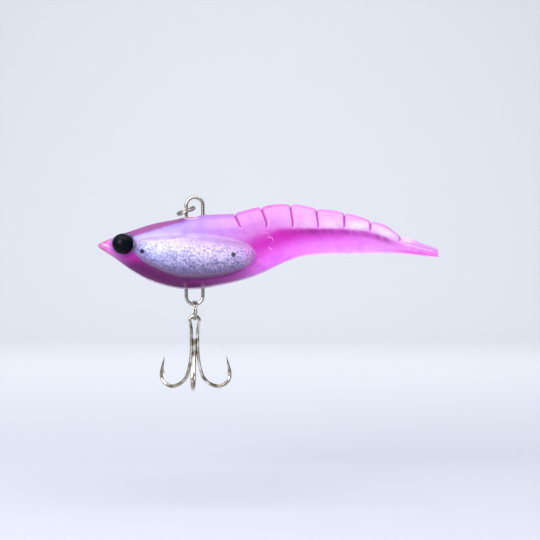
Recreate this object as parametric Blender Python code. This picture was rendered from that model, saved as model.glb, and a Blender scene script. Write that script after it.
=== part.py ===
"""Soft plastic prawn lure moulded over a lead jig head, with split rings and a treble hook.

Frame: origin at the centre of the line tie's eye, +X to the tail, +Z to the back, y = 0 the plane of symmetry.
The lure stands as it hangs on its line. Lengths are in millimetres and become metres in new_object.
"""

import math

import bmesh
import bpy
import numpy as np

MM = 0.001
GAP = 0.3

# Outlines of the moulded body from nose to tail: (x, value)
BACK = [(-25.5, -10.3), (-21.6, -8.4), (-17.4, -7.0), (-11.6, -5.1), (-5.3, -3.8), (0, -2.8), (6, -2.3),
        (10.3, -2.1), (17.3, -0.5), (22.5, 0.15), (27.5, 0), (32, -0.9), (39.5, -2), (46.4, -4.1),
        (50.4, -5.5), (54.2, -7.9), (58.9, -9.6), (64.2, -11.4)]
BELLY = [(-25.5, -10.9), (-21.2, -13.8), (-16.6, -17.1), (-12.7, -19.3), (-8.3, -20.9), (-3, -21.9),
         (2.6, -21.7), (7, -20.9), (11.8, -19.8), (16.4, -18.3), (20.2, -16.6), (24.1, -14.8), (28, -13.5),
         (31.8, -13), (37.7, -12.7), (45, -12.6), (53.1, -12.6), (58.9, -13.2), (64.2, -13.8)]
HALF_WIDTH = [(-25.5, 0.35), (-22, 2.1), (-19, 3.4), (-15, 4.7), (-10, 5.8), (-3, 6.4), (4, 6.4), (10, 5.9),
              (16, 5.1), (22, 4.4), (30, 3.6), (38, 2.9), (46, 2.2), (54, 1.5), (60, 1), (64.2, 0.6)]
WIDEST = [(-25.5, -10.6), (-19, -10.8), (-10, -12), (0, -12.5), (8, -11.3), (14, -9.4), (20, -7.6),
          (28, -6.7), (38, -6.9), (46, -7.8), (54, -10.2), (64.2, -12.5)]
SQUARENESS = [(-25.5, 2), (-10, 1.85), (8, 1.85), (22, 1.5), (40, 1.35), (64.2, 1.5)]
SHELL_NOTCHES = [10.5, 17.5, 25.2, 32.1, 39.5, 46.4, 54.2]
NOTCH_DEPTH = 0.6
BODY_SIDES = 28

# The tail bends about an upright line here, where the moulding is divided on a round face
FLEX_X = 25
FLEX_R = 4.35

# The lead weight: (x, value)
LEAD_TOP = [(-16.2, -11), (-14.5, -9.4), (-11.7, -8.6), (-5, -8.1), (2, -8.3), (9.4, -9.3), (13.6, -10.4),
            (15.6, -11.8), (16.2, -13)]
LEAD_BOTTOM = [(-16.2, -11.6), (-14.5, -13.7), (-12.5, -15.2), (-9.1, -17), (-5.1, -18.5), (0, -19.1),
               (4.1, -18.9), (9.4, -18), (13.6, -16.3), (15.6, -14.6), (16.2, -13.5)]
LEAD_HALF_WIDTH = [(-16.2, 0.5), (-14.5, 2.3), (-9, 4.4), (-1, 5.4), (8, 5), (13.6, 3.6), (15.6, 1.9),
                   (16.2, 0.5)]
LEAD_STATIONS, LEAD_SIDES = 18, 20
MOULD_PINS = [(-13.4, -12.1), (10.4, -13)]
MOULD_PIN_R = 0.6
MOULD_PIN_DIMPLE = 0.7

# One bent wire makes the line tie above the back and the hook hanger under the belly
FRAME_WIRE_R = 0.45
FRAME_BEND_R = 2.2
HANGER_Z = -23.9
WIRE_ENDS_Z = -13.5
WIRE_ENDS_APART = 0.4

# Split rings: two turns of flat wire, with one step from turn to turn
RING_R = 2.4
RING_WIRE_DEEP, RING_WIRE_WIDE = 0.5, 0.5
RING_TURN_PITCH = 0.58
RING_STEPS_PER_TURN = 32
LINE_RING_CENTRE = (-2.25, 0, -1.45)
LINE_RING_TILT = 21
HOOK_RING_TURNED = 8
RING_REST_GAP = 0.12

# Treble hook: (distance out from the shank, height above the bend), from shank to point
HOOK_WIRE_R = 0.425
HOOK_EYE_R = 1.2
HOOK_EYE_DROP = 0.25
HOOK_LENGTH = 17.6
HOOK_BEND = [(0, 11), (0.05, 9), (0.45, 6.1), (1.6, 2.65), (3.8, 0.7), (6.55, 0), (8.75, 0.95), (9.6, 2.5),
             (9.4, 4.4), (8.95, 6.4), (8.5, 8)]
HOOK_STEPS = 4
PAIR_SHANK_X = 0.84
THIRD_SHANK_Y = -0.48
THIRD_TOP_DROP = 4.7
POINT_TAPER = 3.8
POINT_R = 0.06
BARB_BELOW_POINT = 4.4
BARB_LENGTH, BARB_LIFT = 1.3, 0.8
SOLDER_SPAN = (8.4, 12.6)
SOLDER_CLEAR = 0.03

# Bead eyes on a pin through the head
EYE_X, EYE_Y, EYE_Z = -18.6, 3.5, -10.2
EYE_R = 2.75
EYE_PIN_R = 0.45
EYE_PIN_HALF = 4.1


def smooth_curve(points):
    """A function through the points: a cubic between each two, its slopes taken from their neighbours."""
    xs, ys = np.array(points, float).T
    slopes = np.gradient(ys, xs)

    def value(x):
        i = int(np.clip(np.searchsorted(xs, x) - 1, 0, len(xs) - 2))
        span = xs[i + 1] - xs[i]
        t = (x - xs[i]) / span
        ends = ys[i] * (1 + 2 * t) * (1 - t) ** 2 + ys[i + 1] * t * t * (3 - 2 * t)
        turns = slopes[i] * t * (1 - t) ** 2 - slopes[i + 1] * t * t * (1 - t)
        return float(ends + span * turns)

    return value


back, belly, half_width, widest, squareness, lead_top, lead_bottom, lead_half_width = (
    smooth_curve(outline)
    for outline in (BACK, BELLY, HALF_WIDTH, WIDEST, SQUARENESS, LEAD_TOP, LEAD_BOTTOM, LEAD_HALF_WIDTH)
)


def smooth_path(points, steps):
    """Points on a smooth line through the given ones, steps to each stretch."""
    curves = [smooth_curve(list(enumerate(column))) for column in np.array(points, float).T]
    places = np.linspace(0, len(points) - 1, (len(points) - 1) * steps + 1)
    return [[curve(place) for curve in curves] for place in places]


def smoothstep(t):
    t = min(1, max(0, t))
    return t * t * (3 - 2 * t)


def material(name, colour, roughness, metallic=0.0, alpha=1.0):
    made = bpy.data.materials.new(name)
    made.use_nodes = True
    shader = made.node_tree.nodes["Principled BSDF"]
    shader.inputs["Base Color"].default_value = (*colour, 1)
    shader.inputs["Roughness"].default_value = roughness
    shader.inputs["Metallic"].default_value = metallic
    shader.inputs["Alpha"].default_value = alpha
    return made


def new_object(name, bm, finish=None, origin=(0, 0, 0)):
    """A smooth-shaded object with its own origin. Without a finish it is a helper that isn't rendered."""
    bmesh.ops.recalc_face_normals(bm, faces=bm.faces)
    for vertex in bm.verts:
        vertex.co = [(c - o) * MM for c, o in zip(vertex.co, origin)]
    mesh = bpy.data.meshes.new(name)
    bm.to_mesh(mesh)
    bm.free()
    mesh.shade_smooth()
    mesh.set_sharp_from_angle(angle=math.radians(40))
    made = bpy.data.objects.new(name, mesh)
    made.location = [o * MM for o in origin]
    bpy.context.scene.collection.objects.link(made)
    if finish:
        mesh.materials.append(finish)
    else:
        made.hide_render = True
        made.display_type = "WIRE"
    return made


def boolean(target, helper, operation="DIFFERENCE"):
    modifier = target.modifiers.new(helper.name, "BOOLEAN")
    modifier.operation = operation
    modifier.solver = "EXACT"
    modifier.object = helper


def loft(rings):
    """A closed skin over rings of equally many points, each end closed by one face."""
    bm = bmesh.new()
    rows = [[bm.verts.new(point) for point in ring] for ring in rings]
    for low, high in zip(rows, rows[1:]):
        for i in range(len(low)):
            j = (i + 1) % len(low)
            bm.faces.new((low[i], low[j], high[j], high[i]))
    bm.faces.new(rows[0][::-1])
    bm.faces.new(rows[-1])
    return bm


def round_wire(path, radii, sides=8):
    """A wire with the given radius at each point of its path, carried along without twist."""
    path = [np.array(point, float) for point in path]
    across = np.array((0.3, 0.9, 0.2))
    rings = []
    for i, (point, radius) in enumerate(zip(path, radii)):
        along = path[min(i + 1, len(path) - 1)] - path[max(i - 1, 0)]
        along /= np.linalg.norm(along)
        across = across - along * np.dot(across, along)
        across /= np.linalg.norm(across)
        other = np.cross(along, across)
        angles = [2 * math.pi * k / sides for k in range(sides)]
        rings.append([point + radius * (math.cos(a) * across + math.sin(a) * other) for a in angles])
    return loft(rings)


def rod(start, end, radius, sides=16):
    return round_wire([start, end], [radius, radius], sides)


def sphere(centre, radius, segments=24):
    bm = bmesh.new()
    bmesh.ops.create_uvsphere(bm, u_segments=segments, v_segments=segments // 2, radius=radius)
    bmesh.ops.translate(bm, verts=bm.verts, vec=centre)
    return bm


def moulding_section(x):
    """The moulding's outer section at x: a rounded kite with the shell's notches let into its upper part."""
    power = 2 / squareness(x)
    behind = min((x - notch for notch in SHELL_NOTCHES if x >= notch), default=9)
    ahead = min((notch - x for notch in SHELL_NOTCHES if x <= notch), default=9)
    notch = NOTCH_DEPTH * max(0, 1 - ahead / 0.35, 1 - behind / 1.6)
    middle = widest(x)
    rise, fall = back(x) - notch - middle, middle - belly(x)
    section = []
    for k in range(BODY_SIDES):
        angle = 2 * math.pi * k / BODY_SIDES
        c, s = math.cos(angle), math.sin(angle)
        width = half_width(x) - 0.5 * notch * max(0, s)
        height = rise if s > 0 else fall
        section.append((x, width * math.copysign(abs(c) ** power, c),
                        middle + height * math.copysign(abs(s) ** power, s)))
    return section


def moulding():
    """The whole outer shape of the soft moulding, before it is divided."""
    stations = list(np.linspace(BACK[0][0], 8, 13)) + [56, 60, BACK[-1][0]]
    for notch, following in zip(SHELL_NOTCHES, SHELL_NOTCHES[1:] + [54.9]):
        span = following - notch
        stations += [notch - 0.35, notch]
        stations += [notch + share * span for share in (0.12, 0.4, 0.72) if share * span > 0.3]
    return loft([moulding_section(x) for x in sorted(stations)])


def lead_shape(grown=0.0):
    """The cast weight, or the room for it in the moulding when grown."""
    front, rear = LEAD_TOP[0][0], LEAD_TOP[-1][0]
    rings = []
    for k in range(LEAD_STATIONS):
        share = (1 - math.cos(math.pi * k / (LEAD_STATIONS - 1))) / 2
        x = front + (rear - front) * share
        middle = (lead_top(x) + lead_bottom(x)) / 2
        height = (lead_top(x) - lead_bottom(x)) / 2 + grown
        width = lead_half_width(x) + grown
        angles = [2 * math.pi * i / LEAD_SIDES for i in range(LEAD_SIDES)]
        rings.append([(x + grown * (2 * share - 1), width * math.cos(a), middle + height * math.sin(a))
                      for a in angles])
    return loft(rings)


def tail_zone(name, radius):
    """Everything behind the flex line, with a round front about that line."""
    past = (FLEX_X + 60, radius + 4)
    outline = [(past[0], -past[1]), past, (FLEX_X, past[1])]
    angles = [math.pi / 2 + math.pi * k / 24 for k in range(25)]
    outline += [(FLEX_X + radius * math.cos(a), radius * math.sin(a)) for a in angles]
    outline.append((FLEX_X, -past[1]))
    return new_object(name, loft([[(x, y, z) for x, y in outline] for z in (-30, 8)]))


def make_moulding_and_weight():
    soft = material("dyed_soft_plastic", (0.78, 0.13, 0.62), 0.22, alpha=0.8)
    paint = material("speckled_white_paint", (0.66, 0.6, 0.84), 0.45)
    body = new_object("soft_body", moulding(), soft)
    tail = new_object("soft_tail", moulding(), soft, origin=(FLEX_X, 0, 0))
    weight = new_object("lead_weight", lead_shape(), paint)
    boolean(tail, tail_zone("tail_zone", FLEX_R), "INTERSECT")
    boolean(body, tail_zone("tail_clearance", FLEX_R + GAP))
    boolean(body, new_object("lead_room", lead_shape(GAP)))
    for side, x in (("front", -FRAME_BEND_R), ("rear", FRAME_BEND_R)):
        leg = new_object(side + "_wire_channel", rod((x, 0, HANGER_Z), (x, 0, 0), FRAME_WIRE_R + GAP, 12))
        boolean(body, leg)
        boolean(weight, leg)
    for number, (x, z) in enumerate(MOULD_PINS, 1):
        hole = rod((x, -9, z), (x, 9, z), MOULD_PIN_R, 12)
        boolean(body, new_object(f"mould_pin_hole_{number}", hole))
        for side in (-1, 1):
            y = side * (lead_half_width(x) - MOULD_PIN_DIMPLE)
            dimple = rod((x, y, z), (x, 9 * side, z), MOULD_PIN_R, 12)
            boolean(weight, new_object(f"mould_pin_dimple_{number}_{'left' if side < 0 else 'right'}", dimple))
    return body


def make_eyes(body):
    black = material("black_glass_bead", (0.01, 0.012, 0.018), 0.08)
    steel = material("eye_pin_steel", (0.6, 0.6, 0.62), 0.3, 1.0)
    pin = rod((EYE_X, -EYE_PIN_HALF, EYE_Z), (EYE_X, EYE_PIN_HALF, EYE_Z), EYE_PIN_R, 12)
    new_object("eye_pin", pin, steel)
    reach = EYE_PIN_HALF + GAP
    pin_hole = rod((EYE_X, -reach, EYE_Z), (EYE_X, reach, EYE_Z), EYE_PIN_R + GAP / 2, 12)
    pin_hole = new_object("eye_pin_hole", pin_hole)
    boolean(body, pin_hole)
    for name, side in (("left_eye", -1), ("right_eye", 1)):
        centre = (EYE_X, side * EYE_Y, EYE_Z)
        bead = new_object(name, sphere(centre, EYE_R), black)
        boolean(bead, pin_hole)
        boolean(body, new_object(name + "_socket", sphere(centre, EYE_R + GAP)))


def make_wire_frame(steel):
    """The line tie and hook hanger: one wire bent round, its ends meeting inside the lead."""
    arc = [math.pi * k / 14 for k in range(15)]
    path = [(FRAME_BEND_R, 0, WIRE_ENDS_Z + WIRE_ENDS_APART / 2)]
    path += [(FRAME_BEND_R * math.cos(a), 0, FRAME_BEND_R * math.sin(a)) for a in arc]
    path += [(-FRAME_BEND_R * math.cos(a), 0, HANGER_Z - FRAME_BEND_R * math.sin(a)) for a in arc]
    path.append((FRAME_BEND_R, 0, WIRE_ENDS_Z - WIRE_ENDS_APART / 2))
    new_object("wire_frame", round_wire(path, [FRAME_WIRE_R] * len(path), 12), steel)


def split_ring(centre, side_a, side_b):
    """Two flat turns side by side about the centre, in the plane of two directions at right angles."""
    centre, side_a, side_b = (np.array(v, float) for v in (centre, side_a, side_b))
    axis = np.cross(side_a, side_b)
    deep, wide, corner = RING_WIRE_DEEP / 2, RING_WIRE_WIDE / 2, 0.1
    section = [(deep, -wide + corner), (deep, wide - corner), (deep - corner, wide), (-deep + corner, wide),
               (-deep, wide - corner), (-deep, -wide + corner), (-deep + corner, -wide), (deep - corner, -wide)]
    step_half, end = 25, 34
    count = 2 * RING_STEPS_PER_TURN
    rings = []
    for k in range(count + 1):
        degrees = end + (720 - 2 * end) * k / count
        turn = math.radians(degrees)
        shift = RING_TURN_PITCH * (smoothstep((degrees - 360 + step_half) / (2 * step_half)) - 0.5)
        out = math.cos(turn) * side_a + math.sin(turn) * side_b
        rings.append([centre + (RING_R + r) * out + (shift + w) * axis for r, w in section])
    return loft(rings)


def make_rings(steel):
    """The line's ring lies forward on the back, and the hook's ring hangs in the hanger."""
    tilt = math.radians(LINE_RING_TILT)
    line_ring = split_ring(LINE_RING_CENTRE, (0, 1, 0), (-math.cos(tilt), 0, -math.sin(tilt)))
    new_object("line_ring", line_ring, steel)
    turned = math.radians(HOOK_RING_TURNED)
    hanger_bottom = HANGER_Z - FRAME_BEND_R
    top = hanger_bottom + FRAME_WIRE_R + RING_WIRE_DEEP / 2 + RING_REST_GAP
    centre = (0, 0, top - RING_R)
    hook_ring = split_ring(centre, (-math.sin(turned), math.cos(turned), 0), (0, 0, 1))
    new_object("hook_ring", hook_ring, steel, origin=(0, 0, hanger_bottom))
    return top - 2 * RING_R


def hook_line(shank, out, bend_z):
    """One hook's centre line from the top of its bend to its point."""
    return [(shank[0] + r * out[0], shank[1] + r * out[1], bend_z + h)
            for r, h in smooth_path(HOOK_BEND, HOOK_STEPS)]


def hook_radii(line):
    """Full wire thickness, then an even taper to the point."""
    steps = [math.dist(a, b) for a, b in zip(line, line[1:])]
    left = np.cumsum([0] + steps[::-1])[::-1]
    return [max(POINT_R, HOOK_WIRE_R * min(1, distance / POINT_TAPER)) for distance in left]


def barb(line, out):
    """A sliver of the wire lifted towards the shank, its free end pointing away from the hook's point."""
    left = 0.0
    i = len(line) - 1
    while left < BARB_BELOW_POINT - BARB_LENGTH:
        left += math.dist(line[i], line[i - 1])
        i -= 1
    start = line[i]
    end = (start[0] - BARB_LIFT * out[0], start[1] - BARB_LIFT * out[1], start[2] - BARB_LENGTH)
    return round_wire([start, end], [0.24, 0.06], 6)


def make_treble(steel, ring_bottom_z):
    """Two hooks bent from one wire whose middle is the eye, and a third soldered between their shanks."""
    swivel = (0, 0, ring_bottom_z)
    eye_z = ring_bottom_z - HOOK_EYE_DROP
    bend_z = eye_z - HOOK_LENGTH
    outs = {"left": (-math.cos(math.pi / 6), math.sin(math.pi / 6)),
            "right": (math.cos(math.pi / 6), math.sin(math.pi / 6)), "third": (0, -1)}
    left = hook_line((-PAIR_SHANK_X, 0), outs["left"], bend_z)
    right = hook_line((PAIR_SHANK_X, 0), outs["right"], bend_z)
    neck = smooth_path([(PAIR_SHANK_X, -3.3), (PAIR_SHANK_X + 0.02, -2.3), (PAIR_SHANK_X + 0.17, -1.2)], 3)
    arc = [math.radians(-20 + 220 * k / 18) for k in range(19)]
    eye = [(x, 0, eye_z + z) for x, z in neck]
    eye += [(HOOK_EYE_R * math.cos(a), 0, eye_z + HOOK_EYE_R * math.sin(a)) for a in arc]
    eye += [(-x, 0, eye_z + z) for x, z in neck[::-1]]
    path = right[::-1] + eye + left
    radii = hook_radii(right)[::-1] + [HOOK_WIRE_R] * len(eye) + hook_radii(left)
    pair = new_object("hook_pair", round_wire(path, radii), steel, origin=swivel)
    third_line = [(0, THIRD_SHANK_Y, eye_z - THIRD_TOP_DROP)] + hook_line((0, THIRD_SHANK_Y), outs["third"], bend_z)
    third = new_object("third_hook", round_wire(third_line, [HOOK_WIRE_R] + hook_radii(third_line[1:])), steel,
                       origin=swivel)
    boolean(pair, new_object("left_barb", barb(left, outs["left"])), "UNION")
    boolean(pair, new_object("right_barb", barb(right, outs["right"])), "UNION")
    boolean(third, new_object("third_barb", barb(third_line, outs["third"])), "UNION")
    make_solder(bend_z, swivel)


def make_solder(bend_z, swivel):
    """The fill between the three shanks: hollow faces against each wire and a hollow back."""
    solder = material("solder", (0.55, 0.54, 0.5), 0.4, 1.0)
    clear = HOOK_WIRE_R + SOLDER_CLEAR
    right = [math.radians(150 + 55 * k / 4) for k in range(5)]
    third = [math.radians(40 + 100 * k / 6) for k in range(7)]
    outline = [(0, 0.14)]
    outline += [(PAIR_SHANK_X + clear * math.cos(a), clear * math.sin(a)) for a in right]
    outline += [(clear * math.cos(a), THIRD_SHANK_Y + clear * math.sin(a)) for a in third]
    outline += [(-PAIR_SHANK_X - clear * math.cos(a), clear * math.sin(a)) for a in right[::-1]]
    new_object("solder_seam", loft([[(x, y, bend_z + h) for x, y in outline] for h in SOLDER_SPAN]), solder,
               origin=swivel)


def main():
    for old in list(bpy.data.objects):
        bpy.data.objects.remove(old)
    make_eyes(make_moulding_and_weight())
    bright_steel = material("tinned_steel_wire", (0.72, 0.7, 0.64), 0.22, 1.0)
    make_wire_frame(bright_steel)
    ring_bottom_z = make_rings(bright_steel)
    make_treble(bright_steel, ring_bottom_z)


main()
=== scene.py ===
import math

import bpy
import numpy as np
from mathutils import Matrix, Vector


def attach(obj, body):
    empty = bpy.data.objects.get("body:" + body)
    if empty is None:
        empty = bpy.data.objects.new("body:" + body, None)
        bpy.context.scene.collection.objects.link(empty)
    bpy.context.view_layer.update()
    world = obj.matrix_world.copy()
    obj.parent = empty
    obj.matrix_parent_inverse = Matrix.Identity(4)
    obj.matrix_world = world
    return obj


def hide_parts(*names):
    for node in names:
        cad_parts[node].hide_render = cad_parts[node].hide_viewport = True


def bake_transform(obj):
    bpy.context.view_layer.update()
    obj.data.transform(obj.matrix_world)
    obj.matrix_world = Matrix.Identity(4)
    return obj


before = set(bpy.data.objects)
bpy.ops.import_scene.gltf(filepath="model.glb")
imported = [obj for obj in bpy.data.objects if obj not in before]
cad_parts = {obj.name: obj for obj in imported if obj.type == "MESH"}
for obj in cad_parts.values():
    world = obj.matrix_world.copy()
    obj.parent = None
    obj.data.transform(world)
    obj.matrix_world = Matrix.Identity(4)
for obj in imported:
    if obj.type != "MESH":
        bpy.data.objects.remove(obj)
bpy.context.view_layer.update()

# ---------------------------------------------------------------- camera
# A camera level with the lure, square on to its near side, a forearm's length away as it would be for
# anything this small. It stands first, because the lights are placed around its view.
VIEW_CENTRE = (0.0199, 0, -0.0170)
VIEW_DISTANCE = 0.3365

camera_data = bpy.data.cameras.new("camera")
camera_data.lens = 85
camera_data.sensor_width = 36
camera = bpy.data.objects.new("camera", camera_data)
camera.location = (VIEW_CENTRE[0], -VIEW_DISTANCE, VIEW_CENTRE[2])
camera.rotation_euler = (math.radians(90), 0, 0)
bpy.context.scene.collection.objects.link(camera)
bpy.context.scene.camera = camera

# ---------------------------------------------------------------- floor and light
# A sheet of pale paper that lies flat under the lure and sweeps up well behind it. Paper scatters
# light evenly, so the translucent plastic has a plain bright ground to be seen against.
FLOOR_Z = -0.078
FLOOR_HALF = 5.0
SWEEP_AT_Y = 0.75
SWEEP_R = 0.5
SWEEP_STEPS = 24
SWEEP_RISE = 1.4


def colour(code):
    """The linear colour of an sRGB hex value."""
    parts = [int(code[i:i + 2], 16) / 255 for i in (1, 3, 5)]
    return tuple(p / 12.92 if p <= 0.04045 else ((p + 0.055) / 1.055) ** 2.4 for p in parts) + (1,)


def new_finish(name):
    """An empty node material, and its tree."""
    finish = bpy.data.materials.new(name)
    finish.use_nodes = True
    finish.node_tree.nodes.clear()
    return finish, finish.node_tree


def add_node(tree, kind, settings, inputs):
    """Add a node with its settings; an input is a value or the socket that it is linked to."""
    node = tree.nodes.new("ShaderNode" + kind)
    for name, value in settings.items():
        if name == "stops":
            while len(node.color_ramp.elements) < len(value):
                node.color_ramp.elements.new(1)
            for element, (place, tone) in zip(node.color_ramp.elements, value):
                element.position = place
                element.color = tone
        else:
            setattr(node, name, value)
    for socket, value in inputs.items():
        if isinstance(value, bpy.types.NodeSocket):
            tree.links.new(value, node.inputs[socket])
        else:
            node.inputs[socket].default_value = value
    return node


def deselect():
    """Leave edit mode with nothing selected."""
    if bpy.context.object and bpy.context.object.mode == "EDIT":
        bpy.ops.object.mode_set(mode="OBJECT")
    bpy.ops.object.select_all(action="DESELECT")


deselect()
bpy.ops.mesh.primitive_plane_add(size=2 * FLOOR_HALF, location=(0, SWEEP_AT_Y - FLOOR_HALF, FLOOR_Z))
floor = bpy.context.object
floor.name = "paper_sweep"
bpy.ops.object.transform_apply(location=True)
bpy.ops.object.mode_set(mode="EDIT")
bpy.ops.mesh.select_mode(type="EDGE")
bpy.ops.mesh.select_all(action="DESELECT")
bpy.ops.object.mode_set(mode="OBJECT")
for edge in floor.data.edges:
    edge.select = all(floor.data.vertices[v].co.y > SWEEP_AT_Y - 0.001 for v in edge.vertices)
bpy.ops.object.mode_set(mode="EDIT")
bpy.ops.mesh.spin(steps=SWEEP_STEPS, angle=math.radians(-90),
                  center=(0, SWEEP_AT_Y, FLOOR_Z + SWEEP_R), axis=(1, 0, 0))
bpy.ops.mesh.extrude_region_move(TRANSFORM_OT_translate={"value": (0, 0, SWEEP_RISE)})
bpy.ops.object.mode_set(mode="OBJECT")
bpy.ops.object.shade_smooth()

# Matt paper: even and without gloss, with a fine tooth a few millimetres across
paper, tree = new_finish("matt_white_paper")
place = add_node(tree, "TexCoord", {}, {})
noise = add_node(tree, "TexNoise", {}, {"Vector": place.outputs["Object"], "Scale": 300.0, "Detail": 3.0})
grain = add_node(tree, "Bump", {}, {"Strength": 0.05, "Distance": 0.0002, "Height": noise.outputs["Fac"]})
shader = add_node(tree, "BsdfPrincipled", {}, {"Base Color": colour("#b6b9bd"), "Roughness": 0.85,
                                               "Normal": grain.outputs["Normal"]})
add_node(tree, "OutputMaterial", {}, {"Surface": shader.outputs["BSDF"]})
floor.data.materials.append(paper)

# Soft light: a wide softbox over the lure gives the long pale sheen along the back, one above the
# camera's left lights the near side, one lights the paper behind, and the room is an even pale grey.
SOFTBOXES = [
    # name, place, aimed at, width, depth, watts, tint
    ("overhead_softbox", (0.03, -0.16, 0.62), (0.02, 0, -0.01), 0.9, 0.5, 4.1, "#f6f4ff"),
    ("paper_light", (0.0, 0.3, 0.6), (0, 1.2, 0.3), 1.2, 0.3, 9.0, "#ffffff"),
    ("front_softbox", (-0.35, -0.6, 0.3), (0.01, 0, -0.015), 0.5, 0.5, 7.0, "#fbf8ff"),
]

for name, place, target, width, depth, watts, tint in SOFTBOXES:
    lamp = bpy.data.lights.new(name, "AREA")
    lamp.shape = "RECTANGLE"
    lamp.size, lamp.size_y = width, depth
    lamp.energy = watts
    lamp.color = colour(tint)[:3]
    box = bpy.data.objects.new(name, lamp)
    box.location = place
    aim = Vector(target) - Vector(place)
    box.rotation_euler = aim.to_track_quat("-Z", "Y").to_euler()
    bpy.context.scene.collection.objects.link(box)

room = bpy.data.worlds.new("pale_room")
room.use_nodes = True
tree = room.node_tree
tree.nodes.clear()
direction = add_node(tree, "TexCoord", {}, {})
split = add_node(tree, "SeparateXYZ", {}, {"Vector": direction.outputs["Generated"]})
ceiling = add_node(tree, "MapRange", {}, {"Value": split.outputs["Z"], "From Min": -0.1, "From Max": 0.8,
                                          "To Min": 0.22, "To Max": 1.1})
seen = add_node(tree, "LightPath", {}, {})
even = add_node(tree, "Mix", {"data_type": "FLOAT"}, {
    0: seen.outputs["Is Camera Ray"], 2: ceiling.outputs["Result"], 3: 0.6})
sky = add_node(tree, "Background", {}, {"Color": colour("#e4e8f2"), "Strength": even.outputs["Result"]})
add_node(tree, "OutputWorld", {}, {"Surface": sky.outputs["Background"]})
bpy.context.scene.world = room
bpy.context.scene.view_settings.view_transform = "Standard"

# ---------------------------------------------------------------- through-wire
# One piece of bright stainless steel wire, bent round into a line tie above the back and a hook hanger
# under the belly. Its ends meet inside the lead, which is cast round both legs.
MM = 0.001
WIRE_R = 0.45 * MM
WIRE_BEND_R = 2.2 * MM
HANGER_Z = -23.9 * MM
WIRE_ENDS_Z = -13.5 * MM
WIRE_ENDS_APART = 0.2 * MM
WIRE_SIDES = 28
WIRE_BEND_STEPS = 36


def edit_new(name):
    """Name the new primitive, put its place into its mesh and start to edit it, all selected."""
    piece = bpy.context.object
    piece.name = name
    piece.data.name = name
    bpy.ops.object.transform_apply(location=True, rotation=True, scale=True)
    bpy.ops.object.mode_set(mode="EDIT")
    bpy.ops.mesh.select_all(action="SELECT")
    return piece


def close_up(piece, sharp_over=40):
    """Leave edit mode with doubles merged, normals outwards and smooth shading."""
    bpy.ops.object.mode_set(mode="EDIT")
    bpy.ops.mesh.select_all(action="SELECT")
    bpy.ops.mesh.remove_doubles(threshold=0.000002)
    bpy.ops.mesh.normals_make_consistent(inside=False)
    bpy.ops.object.mode_set(mode="OBJECT")
    bpy.ops.object.shade_smooth_by_angle(angle=math.radians(sharp_over))


def fit(piece, finish, body, slot, *nodes):
    """Give the piece its finish and its body, in place of these CAD nodes. The slot is not used."""
    piece.data.materials.clear()
    piece.data.materials.append(finish)
    if body:
        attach(piece, body)
    if nodes:
        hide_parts(*nodes)


deselect()
bpy.ops.mesh.primitive_circle_add(vertices=WIRE_SIDES, radius=WIRE_R, fill_type="NGON",
                                  location=(WIRE_BEND_R, 0, WIRE_ENDS_Z + WIRE_ENDS_APART))
through_wire = edit_new("through_wire")
bpy.ops.mesh.extrude_region_move(
    TRANSFORM_OT_translate={"value": (0, 0, -WIRE_ENDS_Z - WIRE_ENDS_APART)})
bpy.ops.mesh.spin(steps=WIRE_BEND_STEPS, angle=math.radians(180), center=(0, 0, 0), axis=(0, 1, 0))
bpy.ops.mesh.extrude_region_move(TRANSFORM_OT_translate={"value": (0, 0, HANGER_Z)})
bpy.ops.mesh.spin(steps=WIRE_BEND_STEPS, angle=math.radians(180), center=(0, 0, HANGER_Z), axis=(0, 1, 0))
bpy.ops.mesh.extrude_region_move(
    TRANSFORM_OT_translate={"value": (0, 0, WIRE_ENDS_Z - WIRE_ENDS_APART - HANGER_Z)})
close_up(through_wire)

# Drawn stainless wire: bright white metal, with the faint long streaks that the drawing die leaves
bright_wire, tree = new_finish("bright_stainless_wire")
place = add_node(tree, "TexCoord", {}, {})
streaks = add_node(tree, "TexNoise", {}, {"Vector": place.outputs["Object"], "Scale": 2500.0, "Detail": 4.0})
tone = add_node(tree, "ValToRGB", {"stops": [(0.3, colour("#857e70")), (0.7, colour("#cfcabf"))]},
                {"Fac": streaks.outputs["Fac"]})
gloss = add_node(tree, "MapRange", {}, {"Value": streaks.outputs["Fac"], "To Min": 0.1, "To Max": 0.22})
dents = add_node(tree, "Bump", {}, {"Strength": 0.15, "Distance": 0.00004, "Height": streaks.outputs["Fac"]})
shader = add_node(tree, "BsdfPrincipled", {}, {
    "Base Color": tone.outputs["Color"], "Metallic": 1.0, "Roughness": gloss.outputs["Result"],
    "Normal": dents.outputs["Normal"]})
add_node(tree, "OutputMaterial", {}, {"Surface": shader.outputs["BSDF"]})
fit(through_wire, bright_wire, "lure", "bright_wire", "wire_frame")

# ---------------------------------------------------------------- lead weight
# The jig head: a long drop of lead cast round the wire, deepest and widest just ahead of its middle.
# It is painted with a speckled white enamel. Two pins that held it in the soft plastic's mould left a
# small round dimple of bare lead each side, coloured near black, partly as painted shade inside it.
LEAD_TOP = [(-16.2, -11.1), (-15.9, -10.3), (-15.2, -9.7), (-14, -9.1), (-11.7, -8.6), (-5, -8.1), (2, -8.3),
            (9.4, -9.3), (13.6, -10.3), (15.2, -10.9), (15.9, -11.5), (16.2, -12.4)]
LEAD_BOTTOM = [(-16.2, -11.7), (-15.9, -12.6), (-15.2, -13.3), (-14, -14.2), (-12.5, -15.2), (-9.1, -17),
               (-5.1, -18.5), (0, -19.1), (4.1, -18.9), (9.4, -18), (13.6, -16.4), (15.2, -15.5),
               (15.9, -14.8), (16.2, -13.9)]
LEAD_HALF_WIDTH = [(-16.2, 0.5), (-15.9, 1.1), (-15.2, 1.9), (-14.5, 2.4), (-9, 4.4), (-1, 5.4), (8, 5),
                   (13.6, 3.6), (15.2, 2.4), (15.9, 1.3), (16.2, 0.5)]
LEAD_END_X = 16.2
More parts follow.
